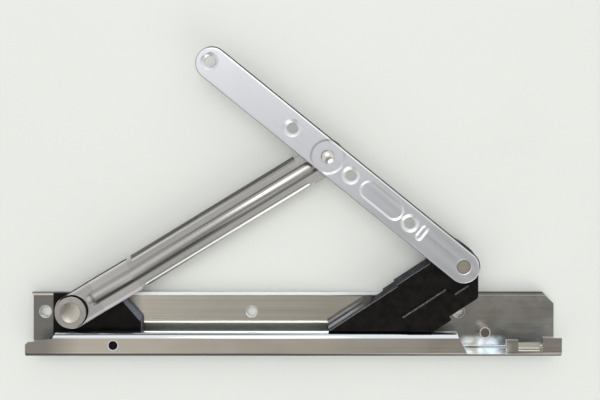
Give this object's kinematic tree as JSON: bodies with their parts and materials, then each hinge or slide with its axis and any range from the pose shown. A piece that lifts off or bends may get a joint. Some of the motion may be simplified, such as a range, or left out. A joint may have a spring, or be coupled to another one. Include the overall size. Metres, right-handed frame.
{
  "type": "friction stay",
  "caption": "Friction stay for an outward-opening window: a rolled steel track with a fixed pivot block, a support arm, a sash arm and a black slider that runs in the track.",
  "frame": {"origin": "axis of the middle track screw hole, on the track's back face, midway between the outer holes", "axes": "+X along the track to its closing end, +Y across the track towards the arms, +Z away from the window frame"},
  "size_m": [0.252, 0.1458, 0.0154],
  "materials": {
    "track_steel": "rolled stainless sheet, polished floor",
    "arm_steel": "satin stainless strip",
    "support_steel": "satin pressed stainless strip",
    "rivet_steel": "satin turned steel",
    "end_rivet_metal": "brownish plated steel",
    "slider_plastic": "satin moulded black",
    "block_plastic": "satin moulded black",
    "washer_plastic": "plain dark",
    "pad_plastic": "plain brown"
  },
  "bodies": {
    "track_assembly": {"track": "track_steel", "stop_pin": "rivet_steel", "pivot_block": "block_plastic", "main_rivet": "rivet_steel", "main_washer": "washer_plastic"},
    "support": {"support_arm": "support_steel", "main_bush": "washer_plastic"},
    "sash": {"sash_arm": "arm_steel", "mid_rivet": "rivet_steel", "mid_washer": "washer_plastic", "mid_spacer": "rivet_steel", "mid_back_washer": "rivet_steel"},
    "shoe": {"slider": "slider_plastic", "end_rivet": "end_rivet_metal", "end_washer": "washer_plastic", "end_back_washer": "rivet_steel", "friction_pad": "pad_plastic", "pad_spring": "rivet_steel"}
  },
  "joints": [
    {"name": "main_pivot", "type": "hinge", "parent": "track_assembly", "child": "support", "pos_m": [-0.0853, 0.0018, 0.0066], "axis": [0, 0, 1], "range_deg": [-22, 3.4]},
    {"name": "middle_pivot", "type": "hinge", "parent": "support", "child": "sash", "pos_m": [0.03621, 0.07585, 0.0096], "axis": [0, 0, 1], "range_deg": [-9.42, 60.94]},
    {"name": "end_pivot", "type": "hinge", "parent": "sash", "child": "shoe", "pos_m": [0.09963, 0.0245, 0.0126], "axis": [0, 0, 1], "range_deg": [-38.94, 6.02]}
  ],
  "couplings": [
    {"joint": "middle_pivot", "follows": "main_pivot", "ratio": -2.77},
    {"joint": "end_pivot", "follows": "main_pivot", "ratio": 1.77}
  ]
}
